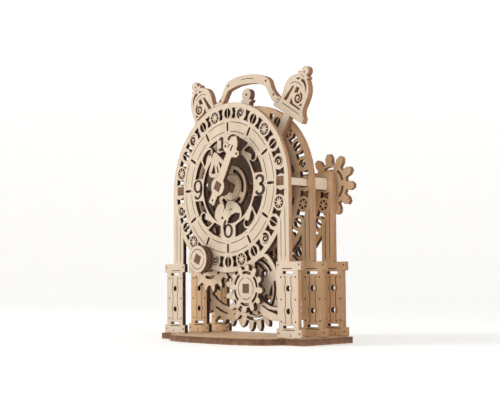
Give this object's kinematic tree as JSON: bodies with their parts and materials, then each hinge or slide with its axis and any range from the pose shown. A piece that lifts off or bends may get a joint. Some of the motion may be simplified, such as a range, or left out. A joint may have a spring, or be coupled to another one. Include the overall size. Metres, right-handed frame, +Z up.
{
  "type": "wooden 3d jigsaw model",
  "caption": "Laser-cut plywood model of a twin-bell mantel clock: fretted dial plates on column feet, meshed gears, hands, carrying handle and finger knob.",
  "frame": {"origin": "middle of the base board's underside, on the surface that the clock stands on", "axes": "+Z up through the handle, +X to the dial's right as seen from the front, +Y towards the back; the dial faces -Y"},
  "size_m": [0.1512, 0.0796, 0.1996],
  "materials": {
    "birch_face": "sanded birch ply face with browned laser edges",
    "birch_plate": "sanded birch ply, plates behind the dial",
    "birch_wheel": "sanded birch ply wheels",
    "birch_axle": "end grain browned by the laser"
  },
  "bodies": {
    "clock_frame": {"base_plate": "birch_plate", "front_plate": "birch_face", "middle_plate": "birch_plate", "rear_plate": "birch_plate", "left_beam_inner": "birch_plate", "left_beam_outer": "birch_plate", "right_beam_inner": "birch_plate", "right_beam_outer": "birch_plate", "handle": "birch_face", "left_bell": "birch_face", "right_bell": "birch_face", "finial": "birch_face", "left_bell_socket": "birch_plate", "right_bell_socket": "birch_plate", "finial_socket": "birch_plate", "rear_gear_peg": "birch_axle"},
    "knob_train": {"knob_cap": "birch_face", "knob_disc": "birch_face", "knob_axle": "birch_axle", "knob_bush_front": "birch_axle", "knob_bush_middle": "birch_axle", "knob_bush_rear": "birch_axle", "knob_gear": "birch_wheel", "spoked_wheel": "birch_wheel"},
    "lower_train": {"lower_axle": "birch_axle", "lower_bush_front": "birch_axle", "lower_bush_middle": "birch_axle", "front_gear": "birch_face", "big_gear": "birch_wheel"},
    "minute_train": {"minute_axle": "birch_axle", "centre_bush_middle": "birch_axle", "centre_bush_rear": "birch_axle", "centre_disc": "birch_wheel", "centre_pinion": "birch_wheel", "minute_hand": "birch_face"},
    "hour_pointer": {"hour_hand": "birch_face"},
    "loose_gear": {"rear_gear": "birch_wheel"}
  },
  "joints": [
    {"name": "knob_spin", "type": "hinge", "parent": "clock_frame", "child": "knob_train", "pos_m": [-0.0245, 0, 0.0598], "axis": [0, 1, 0], "continuous": true},
    {"name": "lower_spin", "type": "hinge", "parent": "clock_frame", "child": "lower_train", "pos_m": [0.0226, 0, 0.0383], "axis": [0, 1, 0], "continuous": true},
    {"name": "minute_spin", "type": "hinge", "parent": "clock_frame", "child": "minute_train", "pos_m": [0, 0, 0.1115], "axis": [0, 1, 0], "continuous": true},
    {"name": "hour_spin", "type": "hinge", "parent": "clock_frame", "child": "hour_pointer", "pos_m": [0, 0, 0.1115], "axis": [0, 1, 0], "continuous": true},
    {"name": "rear_gear_spin", "type": "hinge", "parent": "clock_frame", "child": "loose_gear", "pos_m": [0.0535, 0, 0.1122], "axis": [0, 1, 0], "continuous": true}
  ],
  "couplings": [
    {"joint": "lower_spin", "follows": "knob_spin", "ratio": -0.8},
    {"joint": "minute_spin", "follows": "knob_spin", "ratio": -5.3333}
  ]
}
